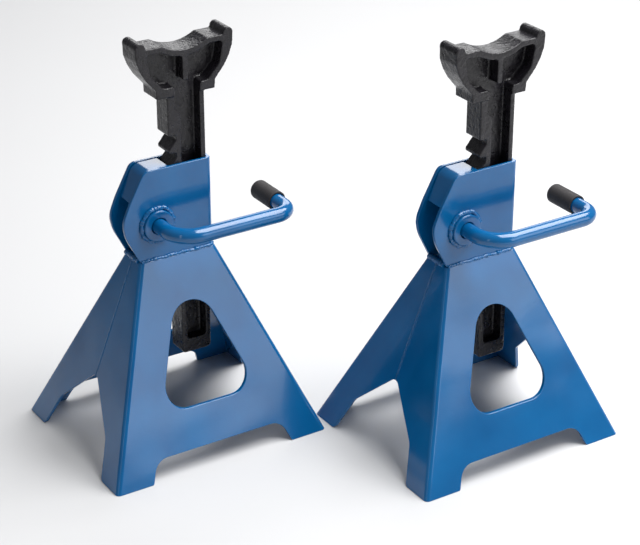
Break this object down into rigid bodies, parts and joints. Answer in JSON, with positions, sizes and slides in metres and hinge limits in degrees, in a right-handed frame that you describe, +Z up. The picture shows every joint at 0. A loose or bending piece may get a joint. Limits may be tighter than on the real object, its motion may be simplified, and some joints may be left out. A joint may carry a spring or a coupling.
{
  "type": "axle jack stand",
  "caption": "Folded steel pyramid jack stands with a toothed cast column, a saddle head and a crank handle that works the pawl.",
  "frame": {"origin": "on the floor, at the middle of the box round both stands", "axes": "+Z up; +X to the right along the front faces; the front faces look towards -Y"},
  "size_m": [0.406, 0.308, 0.35],
  "materials": {
    "blue_paint": "gloss enamel",
    "black_iron": "semi-gloss paint over sand casting",
    "rubber_grip": "matt",
    "zinc_pin": "bright zinc"
  },
  "bodies": {
    "left_frame": {"left_front_shell": "blue_paint", "left_rear_shell": "blue_paint", "left_left_seam_weld": "blue_paint", "left_right_seam_weld": "blue_paint", "left_neck_housing": "blue_paint", "left_neck_cap": "blue_paint", "left_neck_base_weld": "blue_paint", "left_neck_side_weld": "blue_paint", "left_guide_strip": "blue_paint", "left_front_bushing": "blue_paint", "left_rear_bushing": "blue_paint", "left_front_bushing_weld": "blue_paint", "left_rear_bushing_weld": "blue_paint"},
    "left_column": {"left_ratchet_column": "black_iron"},
    "left_handle": {"left_pawl": "blue_paint", "left_pawl_pin": "zinc_pin", "left_handle_bar": "blue_paint", "left_handle_grip": "rubber_grip"},
    "right_frame": {"right_front_shell": "blue_paint", "right_rear_shell": "blue_paint", "right_left_seam_weld": "blue_paint", "right_right_seam_weld": "blue_paint", "right_neck_housing": "blue_paint", "right_neck_cap": "blue_paint", "right_neck_base_weld": "blue_paint", "right_neck_side_weld": "blue_paint", "right_guide_strip": "blue_paint", "right_front_bushing": "blue_paint", "right_rear_bushing": "blue_paint", "right_front_bushing_weld": "blue_paint", "right_rear_bushing_weld": "blue_paint"},
    "right_column": {"right_ratchet_column": "black_iron"},
    "right_handle": {"right_pawl": "blue_paint", "right_pawl_pin": "zinc_pin", "right_handle_bar": "blue_paint", "right_handle_grip": "rubber_grip"}
  },
  "joints": [
    {"name": "left_column_height", "type": "slide", "parent": "left_frame", "child": "left_column", "axis": [0, 0, 1], "range_m": [-0.045, 0.09]},
    {"name": "left_handle_turn", "type": "hinge", "parent": "left_frame", "child": "left_handle", "pos_m": [-0.121, 0.07, 0.195], "axis": [0, -1, 0], "range_deg": [-11.3, 30]},
    {"name": "right_stand_place", "type": "slide", "parent": "left_frame", "child": "right_frame", "axis": [1, 0, 0], "range_m": [0, 0.6]},
    {"name": "right_column_height", "type": "slide", "parent": "right_frame", "child": "right_column", "axis": [0, 0, 1], "range_m": [-0.045, 0.09]},
    {"name": "right_handle_turn", "type": "hinge", "parent": "right_frame", "child": "right_handle", "pos_m": [0.085, -0.07, 0.195], "axis": [0, -1, 0], "range_deg": [-11.3, 30]}
  ]
}
